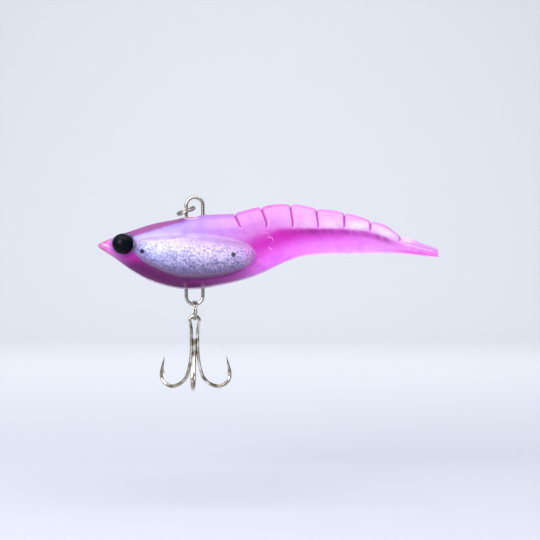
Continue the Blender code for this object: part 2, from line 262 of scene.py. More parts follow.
LEAD_RINGS, LEAD_SIDES = 30, 48
MOULD_PINS = [(-13.4, -12.1), (10.4, -13)]
MOULD_PIN_R = 0.6
DIMPLE_DEEP = 0.7
OUTSIDE_Y = 9


def outline(points):
    """A smooth line through (x, value) points, read for many places at once."""
    xs, ys = np.array(points, float).T
    slopes = np.gradient(ys, xs)

    def value(x):
        x = np.clip(x, xs[0], xs[-1])
        i = np.clip(np.searchsorted(xs, x) - 1, 0, len(xs) - 2)
        span = xs[i + 1] - xs[i]
        t = (x - xs[i]) / span
        ends = ys[i] * (1 + 2 * t) * (1 - t) ** 2 + ys[i + 1] * t * t * (3 - 2 * t)
        return ends + span * (slopes[i] * t * (1 - t) ** 2 - slopes[i + 1] * t * t * (1 - t))

    return value


def extrude_along(stations, tops, bottoms, halves):
    """Extrude the selected ring along X through the stations, each with its own height and width."""
    for i in range(1, len(stations)):
        middle = [(tops[k] + bottoms[k]) / 2 for k in (i - 1, i)]
        step = (stations[i] - stations[i - 1], 0, middle[1] - middle[0])
        bpy.ops.mesh.extrude_region_move(TRANSFORM_OT_translate={"value": [d * MM for d in step]})
        grown = (1, halves[i] / halves[i - 1],
                 (tops[i] - bottoms[i]) / (tops[i - 1] - bottoms[i - 1]))
        bpy.ops.transform.resize(value=grown, center_override=[d * MM for d in (stations[i], 0, middle[1])])


def start_ring(name, sides, x, top, bottom, half):
    """A flat oval ring across the X axis, ready to be extruded."""
    deselect()
    bpy.ops.mesh.primitive_circle_add(vertices=sides, radius=MM, rotation=(0, math.radians(90), 0),
                                      location=(x * MM, 0, (top + bottom) / 2 * MM), fill_type="NGON")
    piece = edit_new(name)
    bpy.ops.transform.resize(value=(1, half, (top - bottom) / 2),
                             center_override=(x * MM, 0, (top + bottom) / 2 * MM))
    return piece


def apply_all(piece):
    """Apply the piece's modifiers, in their order."""
    deselect()
    piece.select_set(True)
    bpy.context.view_layer.objects.active = piece
    for modifier in list(piece.modifiers):
        bpy.ops.object.modifier_apply(modifier=modifier.name)


def cut_round_holes(piece, holes):
    """Cut round holes along Y, each given as x, z, radius, from y and to y, in millimetres."""
    for x, z, radius, start, end in holes:
        deselect()
        bpy.ops.mesh.primitive_cylinder_add(
            vertices=32, radius=radius * MM, depth=abs(end - start) * MM,
            rotation=(math.radians(90), 0, 0), location=(x * MM, (start + end) / 2 * MM, z * MM))
        drill = bpy.context.object
        cut = piece.modifiers.new("drilled", "BOOLEAN")
        cut.operation = "DIFFERENCE"
        cut.solver = "EXACT"
        cut.object = drill
        apply_all(piece)
        bpy.data.objects.remove(drill)


lead_top, lead_bottom, lead_half = (outline(p) for p in (LEAD_TOP, LEAD_BOTTOM, LEAD_HALF_WIDTH))
ring_x = [-LEAD_END_X * math.cos(math.pi * k / LEAD_RINGS) for k in range(LEAD_RINGS + 1)]
tops, bottoms, halves = (curve(np.array(ring_x)) for curve in (lead_top, lead_bottom, lead_half))
weight = start_ring("painted_weight", LEAD_SIDES, ring_x[0], tops[0], bottoms[0], halves[0])
extrude_along(ring_x, tops, bottoms, halves)
close_up(weight)
smooth = weight.modifiers.new("rounder", "SUBSURF")
smooth.levels = smooth.render_levels = 1
apply_all(weight)
cut_round_holes(weight, [
    (x, z, MOULD_PIN_R, side * (float(lead_half(x)) - DIMPLE_DEEP), side * OUTSIDE_Y)
    for x, z in MOULD_PINS for side in (-1, 1)])
close_up(weight)

# Painted sheen: the top of the weight is made paler and more even, where the light from above lies on it as a
# sheen
co = np.empty(len(weight.data.vertices) * 3)
weight.data.vertices.foreach_get("co", co)
x, y, z = (co.reshape(-1, 3) / MM).T
up = (z - (lead_top(x) + lead_bottom(x)) / 2) / (lead_top(x) - lead_bottom(x)) * 2
layer = weight.data.attributes.new("top_dust", "FLOAT", "POINT")
layer.data.foreach_set("value", np.clip((up - 0.45) / 0.5, 0, 1).astype(np.float32))

# Speckled enamel over lead: white and pale lilac grains about a third of a millimetre across, with painted
# shade that greys and darkens the lower part, painted light on the ends, and bare lead in the dimples
enamel, tree = new_finish("speckled_enamel_on_lead")
place = add_node(tree, "TexCoord", {}, {})
grains = add_node(tree, "TexNoise", {}, {"Vector": place.outputs["Object"], "Scale": 1700.0, "Detail": 2.0,
                                         "Roughness": 0.6})
flecks = add_node(tree, "TexVoronoi", {}, {"Vector": place.outputs["Object"], "Scale": 2700.0})
fleck_tone = add_node(tree, "SeparateColor", {}, {"Color": flecks.outputs["Color"]})
blotches = add_node(tree, "TexNoise", {}, {"Vector": place.outputs["Object"], "Scale": 420.0, "Detail": 2.0})
split = add_node(tree, "SeparateXYZ", {}, {"Vector": place.outputs["Object"]})
# Painted shade: the lower part of the weight is darker and greyer, as if turned away from the light above
low = add_node(tree, "MapRange", {"interpolation_type": "SMOOTHSTEP"}, {
    "Value": split.outputs["Z"], "From Min": -0.0115, "From Max": -0.0185})
mixed = add_node(tree, "Math", {"operation": "MULTIPLY_ADD"}, {
    0: blotches.outputs["Fac"], 1: 0.25, 2: grains.outputs["Fac"]})
grainy = add_node(tree, "Math", {"operation": "MULTIPLY_ADD"}, {
    0: fleck_tone.outputs["Red"], 1: 0.16, 2: mixed.outputs["Value"]})
shifted = add_node(tree, "Math", {"operation": "MULTIPLY_ADD"}, {
    0: low.outputs["Result"], 1: -0.1, 2: grainy.outputs["Value"]})
speckle = add_node(tree, "ValToRGB", {"stops": [
    (0.5, colour("#857fa8")), (0.6, colour("#b4aed2")), (0.71, colour("#d9d5ea")),
    (0.84, colour("#f0eef6"))]}, {"Fac": shifted.outputs["Value"]})
low_shaded = add_node(tree, "Mix", {"data_type": "RGBA", "blend_type": "MULTIPLY"}, {
    0: low.outputs["Result"], 6: speckle.outputs["Color"], 7: colour("#8d82b0")})
# Painted light along the weight: a bluish tint of sky light at the front end, a pink glow at the rear end
ends = add_node(tree, "MapRange", {}, {"Value": split.outputs["X"], "From Min": -0.0155, "From Max": 0.015})
cast = add_node(tree, "ValToRGB", {"stops": [
    (0.0, colour("#bfe2ff")), (0.3, colour("#e6f4ff")), (0.6, colour("#fffdff")), (1.0, colour("#fff0ff"))]},
    {"Fac": ends.outputs["Result"]})
tinted = add_node(tree, "Mix", {"data_type": "RGBA", "blend_type": "MULTIPLY"}, {
    0: 1.0, 6: low_shaded.outputs["Result"], 7: cast.outputs["Color"]})
# The dimples are bare lead, coloured near black: partly the lead's own dark, partly painted shade inside them
pin_masks = []
for x, z in MOULD_PINS:
    across = add_node(tree, "VectorMath", {"operation": "SUBTRACT"}, {
        0: place.outputs["Object"], 1: (x * MM, 0, z * MM)})
    flat = add_node(tree, "VectorMath", {"operation": "MULTIPLY"}, {
        0: across.outputs["Vector"], 1: (1, 0, 1)})
    away = add_node(tree, "VectorMath", {"operation": "LENGTH"}, {0: flat.outputs["Vector"]})
    mask = add_node(tree, "MapRange", {"interpolation_type": "SMOOTHSTEP"}, {
        "Value": away.outputs["Value"], "From Min": (MOULD_PIN_R + 0.05) * MM,
        "From Max": (MOULD_PIN_R - 0.05) * MM})
    pin_masks.append(mask.outputs["Result"])
bare = add_node(tree, "Math", {"operation": "MAXIMUM"}, {0: pin_masks[0], 1: pin_masks[1]})
top_dust = add_node(tree, "Attribute", {"attribute_name": "top_dust"}, {})
sheened = add_node(tree, "Mix", {"data_type": "RGBA"}, {
    0: top_dust.outputs["Fac"], 6: tinted.outputs["Result"], 7: colour("#fbf4ff")})
paint = add_node(tree, "Mix", {"data_type": "RGBA"}, {
    0: bare.outputs["Value"], 6: sheened.outputs["Result"], 7: colour("#140f22")})
pimples = add_node(tree, "Bump", {}, {"Strength": 0.4, "Distance": 0.00008, "Height": grains.outputs["Fac"]})
shader = add_node(tree, "BsdfPrincipled", {}, {
    "Base Color": paint.outputs["Result"], "Roughness": 0.55, "Normal": pimples.outputs["Normal"]})
add_node(tree, "OutputMaterial", {}, {"Surface": shader.outputs["BSDF"]})
fit(weight, enamel, "lure", "painted_lead", "lead_weight")

# ---------------------------------------------------------------- soft plastic moulding
# The prawn: one piece of dyed, translucent PVC plastisol cast round the weight in a polished mould.
# It has a pointed nose, seven shell plates that overlap along the back, a kite-shaped tail section
# with a crease along each side, and a flat ridged tail fan.
BACK = [(-25.5, -10.3), (-21.6, -8.4), (-17.4, -7.0), (-11.6, -5.1), (-5.3, -3.8), (0, -2.8), (6, -2.3),
        (10.3, -2.1), (17.3, -0.5), (22.5, 0.15), (27.5, 0), (32, -0.9), (39.5, -2), (46.4, -4.1),
        (50.4, -5.5), (54.2, -7.9), (58.9, -9.6), (64.2, -11.4)]
BELLY = [(-25.5, -10.9), (-21.2, -13.8), (-16.6, -17.1), (-12.7, -19.3), (-8.3, -20.9), (-3, -21.9),
         (2.6, -21.7), (7, -20.9), (11.8, -19.8), (16.4, -18.3), (20.2, -16.6), (24.1, -14.8), (28, -13.5),
         (31.8, -13), (37.7, -12.7), (45, -12.6), (53.1, -12.6), (58.9, -13.2), (64.2, -13.8)]
HALF_WIDTH = [(-25.5, 0.35), (-22, 2.1), (-19, 3.4), (-15, 4.7), (-10, 5.8), (-3, 6.4), (4, 6.4), (10, 5.9),
              (16, 5.1), (22, 4.4), (30, 3.6), (38, 2.9), (46, 2.2), (54, 1.5), (60, 1), (64.2, 0.6)]
WIDEST = [(-25.5, -10.6), (-19, -10.8), (-10, -12), (0, -12.5), (8, -11.3), (14, -9.4), (20, -7.6),
          (28, -6.7), (38, -6.9), (46, -7.8), (54, -10.2), (64.2, -12.5)]
SQUARENESS = [(-25.5, 1.9), (-10, 1.85), (8, 1.85), (17, 1.6), (24, 1.3), (44, 1.28), (56, 1.4), (64.2, 1.6)]
SHELL_EDGES = [10.5, 17.5, 25.2, 32.1, 39.5, 46.4, 54.2]
EDGE_SLANT = [(-25.5, 0), (4, 0), (10.5, 0.4), (17.5, 0.35), (25.2, 0.14), (32.1, 0.1), (39.5, -0.03),
              (46.4, -0.05), (54.2, -0.08), (60, 0), (64.2, 0)]
SLANT_REACH = 4.5
EDGE_FOOT_X, EDGE_FOOT_Z = (0, 40, 47, 54), (-6.6, -6.6, -7.4, -10)
EDGE_DEEP, EDGE_STEP, PLATE_SWELL = 0.58, 0.38, 0.24
LEG_X = WIRE_BEND_R / MM
SCOOP_DEEP, COLLAR_HIGH = 0.22, 0.16
EYE_CENTRE = (-18.6, 3.5, -10.2)
EYE_R = 2.75
SOCKET_R = EYE_R + 0.08
SKIN_STATIONS = [-25.5, -25, -24.2, -23.2, -21.8, -20.4, -19, -17.6, -16, -13.6, -11, -8.5, -6, -4, -2.2,
                 -0.4, 1.4, 3.4, 6, 8.4, 57, 59.5, 62, 63.6, 64.2]
SKIN_SIDES, SKIN_CUTS = 24, 5


def ease(value, start, end):
    """A smooth rise from 0 at start to 1 at end."""
    t = np.clip((value - start) / (end - start), 0, 1)
    return t * t * (3 - 2 * t)


back, belly, half_width, widest, squareness, slant = (
    outline(p) for p in (BACK, BELLY, HALF_WIDTH, WIDEST, SQUARENESS, EDGE_SLANT))
coarse_x = list(SKIN_STATIONS)
for edge, following in zip(SHELL_EDGES, SHELL_EDGES[1:] + [58]):
    coarse_x += [edge - 0.6, edge + 0.6, edge + 0.42 * (following - edge), edge + 0.72 * (following - edge)]
coarse_x = np.array(sorted(coarse_x))
tops, bottoms, halves = back(coarse_x), belly(coarse_x), half_width(coarse_x)
skin = start_ring("prawn_moulding", SKIN_SIDES, coarse_x[0], tops[0], bottoms[0], halves[0])
extrude_along(coarse_x, tops, bottoms, halves)
bpy.ops.mesh.select_all(action="SELECT")
bpy.ops.mesh.subdivide(number_cuts=SKIN_CUTS, smoothness=0)
bpy.ops.object.mode_set(mode="OBJECT")

# The plain oval tube is then shaped: each point keeps its station s and its angle round the section
co = np.empty(len(skin.data.vertices) * 3)
skin.data.vertices.foreach_get("co", co)
co = co.reshape(-1, 3) / MM
s = np.clip(co[:, 0], coarse_x[0], coarse_x[-1])
across = co[:, 1] / np.interp(s, coarse_x, halves)
upright = co[:, 2] - np.interp(s, coarse_x, (tops + bottoms) / 2)
upright = upright / np.interp(s, coarse_x, (tops - bottoms) / 2)
reach = np.clip(np.hypot(across, upright), 0, 1)
on_end = (reach < 0.9) & ((s < coarse_x[0] + 0.001) | (s > coarse_x[-1] - 0.001))
turn = np.arctan2(upright, across)
c, t = np.cos(turn), np.sin(turn)
inward = np.where(on_end, reach, 1.0)

# Shell plates: each one swells a little, ends in a sharp edge, and the next starts from under it
from_edge = np.min([np.where(s >= e, s - e, 99) for e in SHELL_EDGES], axis=0)
to_edge = np.min([np.where(s <= e, e - s, 99) for e in SHELL_EDGES], axis=0)
cut = EDGE_DEEP * np.maximum(np.clip(1 - to_edge / 0.22, 0, 1), np.clip(1 - from_edge / 0.32, 0, 1))
cut = cut + EDGE_STEP * np.clip(1 - from_edge / 1.5, 0, 1) ** 2 + 0.16 * np.clip(1 - to_edge / 1.1, 0, 1) ** 2
swell = np.zeros_like(s)
for e, following in zip(SHELL_EDGES, SHELL_EDGES[1:] + [60]):
    share = np.clip((s - e) / (following - e), 0, 1)
    swell = np.where((s > e) & (s < following), PLATE_SWELL * np.sin(np.pi * share) ** 0.6, swell)


def section(x, swell):
    """Half width, height over the widest line and the widest line's z of the point's own section."""
    power = 2 / squareness(x)
    height = np.where(t > 0, back(x) - widest(x) + swell, widest(x) - belly(x))
    side = half_width(x) * np.sign(c) * np.abs(c) ** power
    rise = height * np.sign(t) * np.abs(t) ** power
    return side, rise, widest(x)


_, rise, middle = section(s, swell)
drop = back(s) - (middle + rise)
x = s + slant(s) * np.clip(drop, 0, SLANT_REACH)
side, rise, middle = section(x, swell)
z = middle + rise
edge_foot = np.interp(x, EDGE_FOOT_X, EDGE_FOOT_Z)
plate = ease(z, edge_foot, edge_foot + 1.7)
side = side - 0.75 * cut * plate * np.abs(c) ** 0.5 * np.sign(c)
z = z - cut * plate * np.clip(t, 0, 1)
y = side * inward
z = middle + (z - middle) * inward

# A thin crest runs along the back from the eyes to the line tie, and a faint seam along the belly
crest = ease(x, -22, -19) * (1 - ease(x, -4.5, -2.5))
z += np.where(t > 0, crest * (0.5 * np.exp(-(y / 0.45) ** 2) - 0.42 * ease(t, 0.4, 0.95)), 0)
z -= np.where(t < -0.9, 0.14 * np.exp(-(y / 0.22) ** 2) * ease(x, -22, -16) * (1 - ease(x, 50, 60)), 0)

# The wire comes out of a shallow scoop in the back, with a low collar of plastic round each leg
scoop = np.exp(-(x / 1.7) ** 4) * np.exp(-(y / 1.5) ** 2) * (t > 0)
z -= SCOOP_DEEP * scoop
from_leg = np.hypot(np.abs(x) - LEG_X, y)
z += COLLAR_HIGH * np.exp(-((from_leg - 0.85) / 0.45) ** 2) * (t > 0.6)

# The tail fan is ridged lengthwise, and the nose has a fine ridge along each side
fan = ease(x, 53, 58)
y += fan * 0.16 * np.sign(c) * np.cos(turn * 8) * np.abs(c)
beak = 1 - ease(x, -24.5, -21.5)
y += beak * 0.2 * np.sign(c) * np.exp(-((z + 10.7) / 0.35) ** 2)

# Each bead sits in a round socket with a slightly raised lip of plastic round it
for hand in (-1, 1):
    dx, dy, dz = x - EYE_CENTRE[0], y - hand * EYE_CENTRE[1], z - EYE_CENTRE[2]
    away = np.sqrt(dx * dx + dy * dy + dz * dz)
    flat = np.hypot(dx, dz)
    near = hand * y > 0.3
    lip = np.exp(-((away - EYE_R - 0.5) / 0.42) ** 2) * near * (flat > EYE_R * 0.6)
    y += hand * 0.3 * lip
    inside = near & (away < SOCKET_R) & (flat < EYE_R)
    bowl = np.sqrt(np.clip(SOCKET_R ** 2 - flat ** 2, 0, None))
    y = np.where(inside, hand * (EYE_CENTRE[1] - bowl), y)

# Slight unevenness of a soft casting
y += 0.02 * np.sin(x * 1.9 + z * 1.3) * np.sin(z * 2.3 - x * 0.7) * np.sign(c) * np.abs(c)
skin.data.vertices.foreach_set("co", (np.stack([x, y, z], axis=1) * MM).ravel())
skin.data.update()
close_up(skin, 50)
cut_round_holes(skin, [
    (x_pin, z_pin, MOULD_PIN_R, hand * (float(lead_half(x_pin)) - 0.15), hand * OUTSIDE_Y)
    for x_pin, z_pin in MOULD_PINS for hand in (-1, 1)])
bpy.ops.object.shade_smooth_by_angle(angle=math.radians(50))

# What the plastic looks like depends on what lies under each point of the surface, and much of it is light
# and shade painted into the colour. The measures below say so, most of them from 0 to 1, stored at the
# points. First come the weight seen through the plastic, the painted sky sheen above the crease and the
# painted shadow under the weight
co = np.empty(len(skin.data.vertices) * 3)
skin.data.vertices.foreach_get("co", co)
x, y, z = (co.reshape(-1, 3) / MM).T
lead_middle, lead_height = (lead_top(x) + lead_bottom(x)) / 2, (lead_top(x) - lead_bottom(x)) / 2
off_lead = np.hypot((z - lead_middle) / lead_height, np.clip(np.abs(x) - 13.2, 0, None) / 3)
over_weight = np.where(z > lead_middle, 1 - ease(off_lead, 0.84, 1.22), 1 - ease(off_lead, 0.7, 1.08))
crease_z = np.interp(x, [-25, -16, 0, 10, 14, 18, 22, 38, 45, 48, 52, 56, 64],
                     [-9, -9.8, -8.8, -9.6, -10, -7.8, -6.2, -6.2, -6.8, -7.6, -9, -10.2, -12.2])
softness = np.interp(x, [-25, 10, 14, 18, 22, 26, 30, 38], [2, 2.5, 4, 5.5, 2.4, 1.8, 1.3, 0.9])
sky_side = ease(z, crease_z - softness / 2, crease_z + softness / 2)
# Painted shadow under the weight, darkest under its front half
under_weight = (1 - ease(z, -14.6 - 0.1 * np.abs(x), -12)) * (1 - over_weight)
under_weight *= np.interp(x, [-24, -19, -2, 8, 14, 19], [0.3, 1, 1, 0.7, 0.35, 0])

# Along the back: the dark crest, the thin bright rim behind the line tie, and the scoop with a painted glint
# under it
crest_deep = np.interp(x, [-20, -11.4, -7.8, -4.3, -0.8, 4], [2, 2.1, 1.65, 1.25, 0.9, 0.4])
crest_band = np.interp(x, [-22, -20, -5, 0, 4], [0, 1, 1, 0.7, 0])
crest_band *= 1 - ease(back(x) - z, crest_deep * 0.72, crest_deep * 1.1)
back_rim = np.interp(x, [-1, 4, 50, 56], [0, 0.55, 0.7, 0]) * (1 - ease(back(x) - z, 0.15, 0.75))
in_scoop = np.hypot((x + 0.9) / 1.95, (z + 2.9) / 0.75)
scoop_pink = 1 - ease(in_scoop, 0.7, 0.95)
scoop_glint = np.exp(-((in_scoop - 1) / 0.15) ** 2) * (z < -3.15)

# Below the crease: a painted glow where light comes up through the belly, and painted shade at the crease's
# foot
low_share = np.clip((z - belly(x)) / (crease_z - belly(x)), 0, 1)
belly_glow = np.interp(x, [11, 17, 26, 34, 50, 58], [0, 1, 0.85, 0.4, 0.2, 0])
belly_glow *= 1 - ease(low_share, 0.1, 0.85)
under_crease = crease_z - z
crease_shade = ease(under_crease, -0.35, 0.25) * (1 - ease(under_crease, 0.7, 2.1))
crease_shade *= np.interp(x, [20, 26, 31, 44, 50, 54], [0, 0.4, 0.65, 0.5, 0.7, 0])
crease_shade *= 1 + 0.22 * np.sin(2.3 * x + 1.4 * np.sin(0.9 * x) + z)

# On the plates: a painted pale glow in each one's middle, and painted shade in the cut at its edge
plate_x = x - slant(x) * np.clip(back(x) - z, 0, SLANT_REACH)
plate_share = np.zeros_like(x)
for e, following in zip(SHELL_EDGES, SHELL_EDGES[1:] + [58]):
    inside = (plate_x > e) & (plate_x < following)
    share = np.clip((plate_x - e) / (following - e), 0, 1)
    plate_share = np.where(inside, np.sin(np.pi * share) ** 0.7, plate_share)
plate_glow = np.exp(-((z - crease_z - 1.2) / 1.3) ** 2) * plate_share
plate_glow *= np.interp(x, [20, 27, 35, 46, 54], [0, 0.12, 0.42, 0.8, 0.5])
off_edge = np.min([np.abs(plate_x - edge) for edge in SHELL_EDGES], axis=0)
edge_foot = np.interp(x, EDGE_FOOT_X, EDGE_FOOT_Z)
shell_cut = np.exp(-(off_edge / 0.2) ** 2) * ease(z, edge_foot, edge_foot + 1.7)

# At the ends and edges: the nose tip with a painted highlight along its ridge, a painted glow along the
# belly's thin rim, the fan, a painted glow over the weight's rear end, the painted shadow round the bead, and
# the wire's legs seen through the plastic
off_middle = np.abs(z - (back(x) + belly(x)) / 2) / ((back(x) - belly(x)) / 2)
nose_tip = (1 - ease(x, -24.4, -20.6)) * (0.35 + 0.65 * ease(off_middle, 0.3, 0.8))
nose_light = (1 - ease(x, -23, -20.6)) * ease(x, -24.8, -24)
nose_light *= np.exp(-((z + 10.2 + 0.43 * (x + 24)) / 0.2) ** 2)
thin_rim = (1 - ease(z - belly(x), 0.08, 0.4)) * np.interp(x, [-23, -20, 12, 24, 56], [0, 0.85, 0.85, 1, 0.9])
fan_pink = 0.7 * ease(x, 49, 57) * np.exp(-((z - belly(x) - 0.75) / 0.6) ** 2)
end_glow = 0.8 * over_weight * ease(x, 11, 16.5)
from_bead = np.hypot(x - EYE_CENTRE[0], z - EYE_CENTRE[2]) - EYE_R
socket_shade = 0.3 + 0.7 * ease(x, EYE_CENTRE[0], EYE_CENTRE[0] + 2.5)
socket_shade *= np.exp(-((from_bead - 0.2) / 0.45) ** 2)
leg_smear = 0.5 * np.exp(-((np.abs(x) - LEG_X - 0.1) / 0.35) ** 2)
leg_smear *= (1 - ease(z, -21.2, -19.8)) * (z > belly(x) + 0.1)
wire_trace = 0.4 * np.exp(-((np.abs(x) - LEG_X) / 0.28) ** 2) * ease(z, -8, -7) * (x > 0)
measures = {"plastic_thickness": np.abs(y) * 2, "over_weight": over_weight, "sky_side": sky_side,
            "under_weight": under_weight, "crest_band": crest_band, "shell_cut": shell_cut,
            "nose_tip": nose_tip, "nose_light": nose_light, "thin_rim": thin_rim,
            "socket_shade": socket_shade, "wire_trace": wire_trace, "back_rim": back_rim,
            "scoop_pink": scoop_pink, "scoop_glint": scoop_glint, "belly_glow": belly_glow,
            "crease_shade": crease_shade, "plate_glow": plate_glow, "fan_pink": fan_pink,
            "end_glow": end_glow, "leg_smear": leg_smear}
for name, values in measures.items():
    layer = skin.data.attributes.new(name, "FLOAT", "POINT")
    layer.data.foreach_set("value", values.astype(np.float32))

# Dyed plastisol: clear and glossy, hot pink where it is thick and nearly white where it is thin. A
# little of the light scatters back near the surface, which gives it a milky glow. The real one bends
# light more than the index of refraction set here, which is low so that the weight keeps its outline.
plastisol, tree = new_finish("dyed_pvc_plastisol")
place = add_node(tree, "TexCoord", {}, {})
split = add_node(tree, "SeparateXYZ", {}, {"Vector": place.outputs["Object"]})
reads = {name: add_node(tree, "Attribute", {"attribute_name": name}, {}).outputs["Fac"] for name in measures}
depth = add_node(tree, "MapRange", {}, {
    "Value": reads["plastic_thickness"], "From Min": 0.0, "From Max": 9.0})
dye = add_node(tree, "ValToRGB", {"stops": [
    (0.0, colour("#ffd2fd")), (0.4, colour("#ff9cff")), (0.6, colour("#f361ec")), (0.82, colour("#e42ec8"))]},
    {"Fac": depth.outputs["Result"]})
# The painted sky sheen on the upper flank: bluish lilac at the front, turning pink towards the tail
length = add_node(tree, "MapRange", {}, {"Value": split.outputs["X"], "From Min": -0.016, "From Max": 0.03})
sky_sheen_tone = add_node(tree, "ValToRGB", {"stops": [
    (0.0, colour("#a9abe4")), (0.28, colour("#a888e4")), (0.5, colour("#c38bd8")), (0.7, colour("#d17fd0")),
    (1.0, colour("#da98e4"))]}, {"Fac": length.outputs["Result"]})

# Each tone is laid over the ones before it, as strongly as its measure says
# Of these, the sky sheen, the glows, the glint, the nose highlight and the shades are painted light and shade
TONES = [
    ("belly_glow", colour("#ff86ff")), ("sky_side", sky_sheen_tone.outputs["Color"]),
    ("plate_glow", colour("#e4f0ff")), ("back_rim", colour("#f060d4")), ("crease_shade", colour("#b02c98")),
    ("shell_cut", colour("#d02fa6")), ("crest_band", colour("#a0408f")), ("under_weight", colour("#6e0c64")),
    ("nose_tip", colour("#e04a92")), ("nose_light", colour("#fff2fb")), ("fan_pink", colour("#ff4fe4")),
    ("thin_rim", colour("#ffe2fd")), ("wire_trace", colour("#b070cc")), ("leg_smear", colour("#eaa8e6")),
    ("scoop_pink", colour("#e860b8")), ("scoop_glint", colour("#fff0fb")), ("over_weight", colour("#f4f4ff")),
    ("end_glow", colour("#ffb8fb")), ("socket_shade", colour("#4a4474")),
]
LIGHT_THROUGH = [("belly_glow", 0.2), ("thin_rim", 0.2), ("over_weight", 0.93), ("end_glow", 0.8)]
tones = dye.outputs["Color"]
for measure, tone in TONES:
    laid = add_node(tree, "Mix", {"data_type": "RGBA"}, {0: reads[measure], 6: tones, 7: tone})
    tones = laid.outputs["Result"]
passing = add_node(tree, "MapRange", {}, {"Value": reads["sky_side"], "To Min": 0.75, "To Max": 0.45})
for measure, share in LIGHT_THROUGH:
    passing = add_node(tree, "Mix", {"data_type": "FLOAT"}, {
        0: reads[measure], 2: passing.outputs["Result"], 3: share})
blur = add_node(tree, "MapRange", {}, {"Value": reads["over_weight"], "To Min": 0.42, "To Max": 0.14})
glaze = add_node(tree, "MapRange", {}, {"Value": reads["sky_side"], "To Min": 0.3, "To Max": 0.85})

# Cast plastisol is faintly cloudy, in patches two or three millimetres across, and least so where it is
# thin over the weight. Its skin ripples a little, about four millimetres from one swell to the next.
clouds = add_node(tree, "TexNoise", {}, {
    "Vector": place.outputs["Object"], "Scale": 380.0, "Detail": 5.0, "Roughness": 0.6, "Distortion": 0.6})
cloudy = add_node(tree, "ValToRGB", {"stops": [
    (0.36, colour("#f2e4f7")), (0.48, colour("#fcf8fd")), (0.58, colour("#ffffff"))]},
    {"Fac": clouds.outputs["Fac"]})
clear_there = add_node(tree, "MapRange", {}, {"Value": reads["over_weight"], "To Min": 1.0, "To Max": 0.25})
clouded = add_node(tree, "Mix", {"data_type": "RGBA", "blend_type": "MULTIPLY"}, {
    0: clear_there.outputs["Result"], 6: tones, 7: cloudy.outputs["Color"]})
tones = clouded.outputs["Result"]
flow = add_node(tree, "TexNoise", {}, {"Vector": place.outputs["Object"], "Scale": 260.0, "Detail": 3.0})
ripple = add_node(tree, "Bump", {}, {"Strength": 0.12, "Distance": 0.0002, "Height": flow.outputs["Fac"]})

# Fine marks behind the weight, on the near side only: three small pale curls, painted highlights where the
# plastic wrinkled as it set, and a speck. The curls are arcs, each kept on the side to which it opens.
MARKS_Y = -4.4
MARKS = [
    # x, z, radius of the curl, which way it opens, half thickness of the line, tone
    (19.9, -9.2, 0.75, 1, 0.1, "#ffd9ff"),
    (20.2, -11.1, 0.5, -1, 0.1, "#ffd9ff"),
    (18.6, -8.3, 1.1, 1, 0.06, "#ffb8f4"),
    (15.95, -3.5, 0, 0, 0.2, "#8a3f8e"),
]
for x_mark, z_mark, radius, opens, half, tone in MARKS:
    across = add_node(tree, "VectorMath", {"operation": "SUBTRACT"}, {
        0: place.outputs["Object"], 1: (x_mark * MM, MARKS_Y * MM, z_mark * MM)})
    flat = add_node(tree, "VectorMath", {"operation": "MULTIPLY"}, {
        0: across.outputs["Vector"], 1: (1, 0.3, 1)})
    away = add_node(tree, "VectorMath", {"operation": "LENGTH"}, {0: flat.outputs["Vector"]})
    from_line = add_node(tree, "Math", {"operation": "SUBTRACT"}, {0: away.outputs["Value"], 1: radius * MM})
    either_way = add_node(tree, "Math", {"operation": "ABSOLUTE"}, {0: from_line.outputs["Value"]})
    on_line = add_node(tree, "MapRange", {"interpolation_type": "SMOOTHSTEP"}, {
        "Value": either_way.outputs["Value"], "From Min": half * 1.6 * MM, "From Max": half * 0.5 * MM})
    side_of = add_node(tree, "VectorMath", {"operation": "DOT_PRODUCT"}, {
        0: flat.outputs["Vector"], 1: (0.5 * opens, 0, opens)})
    kept = add_node(tree, "MapRange", {}, {
        "Value": side_of.outputs["Value"], "From Min": 0.1 * radius * MM - 1e-6,
        "From Max": 0.5 * radius * MM})
    strength = add_node(tree, "Math", {"operation": "MULTIPLY"}, {
        0: on_line.outputs["Result"], 1: kept.outputs["Result"]})
    marked = add_node(tree, "Mix", {"data_type": "RGBA"}, {
        0: strength.outputs["Value"], 6: tones, 7: colour(tone)})
    tones = marked.outputs["Result"]
shader = add_node(tree, "BsdfPrincipled", {}, {
    "Base Color": tones, "Roughness": blur.outputs["Result"], "IOR": 1.2,
    "Transmission Weight": passing.outputs["Result"], "Coat Weight": glaze.outputs["Result"],
    "Coat Roughness": 0.16, "Coat IOR": 1.5, "Normal": ripple.outputs["Normal"],
    "Coat Normal": ripple.outputs["Normal"]})
dyed_depth = add_node(tree, "VolumeAbsorption", {}, {"Color": colour("#f45ae8"), "Density": 35.0})
add_node(tree, "OutputMaterial", {}, {
    "Surface": shader.outputs["BSDF"], "Volume": dyed_depth.outputs["Volume"]})
fit(skin, plastisol, None, "soft_plastic", "soft_body", "soft_tail")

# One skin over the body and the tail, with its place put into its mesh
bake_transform(skin)

# ---------------------------------------------------------------- bead eyes
# Two black plastic beads sit half sunk in the head on a steel pin that runs through it. They are
# moulded, and their gloss is dulled a little by handling.
EYE_PIN_HOLE_R = 0.6
EYE_PIN_HOLE_FROM, EYE_PIN_HOLE_TO = 0.3, 4.4

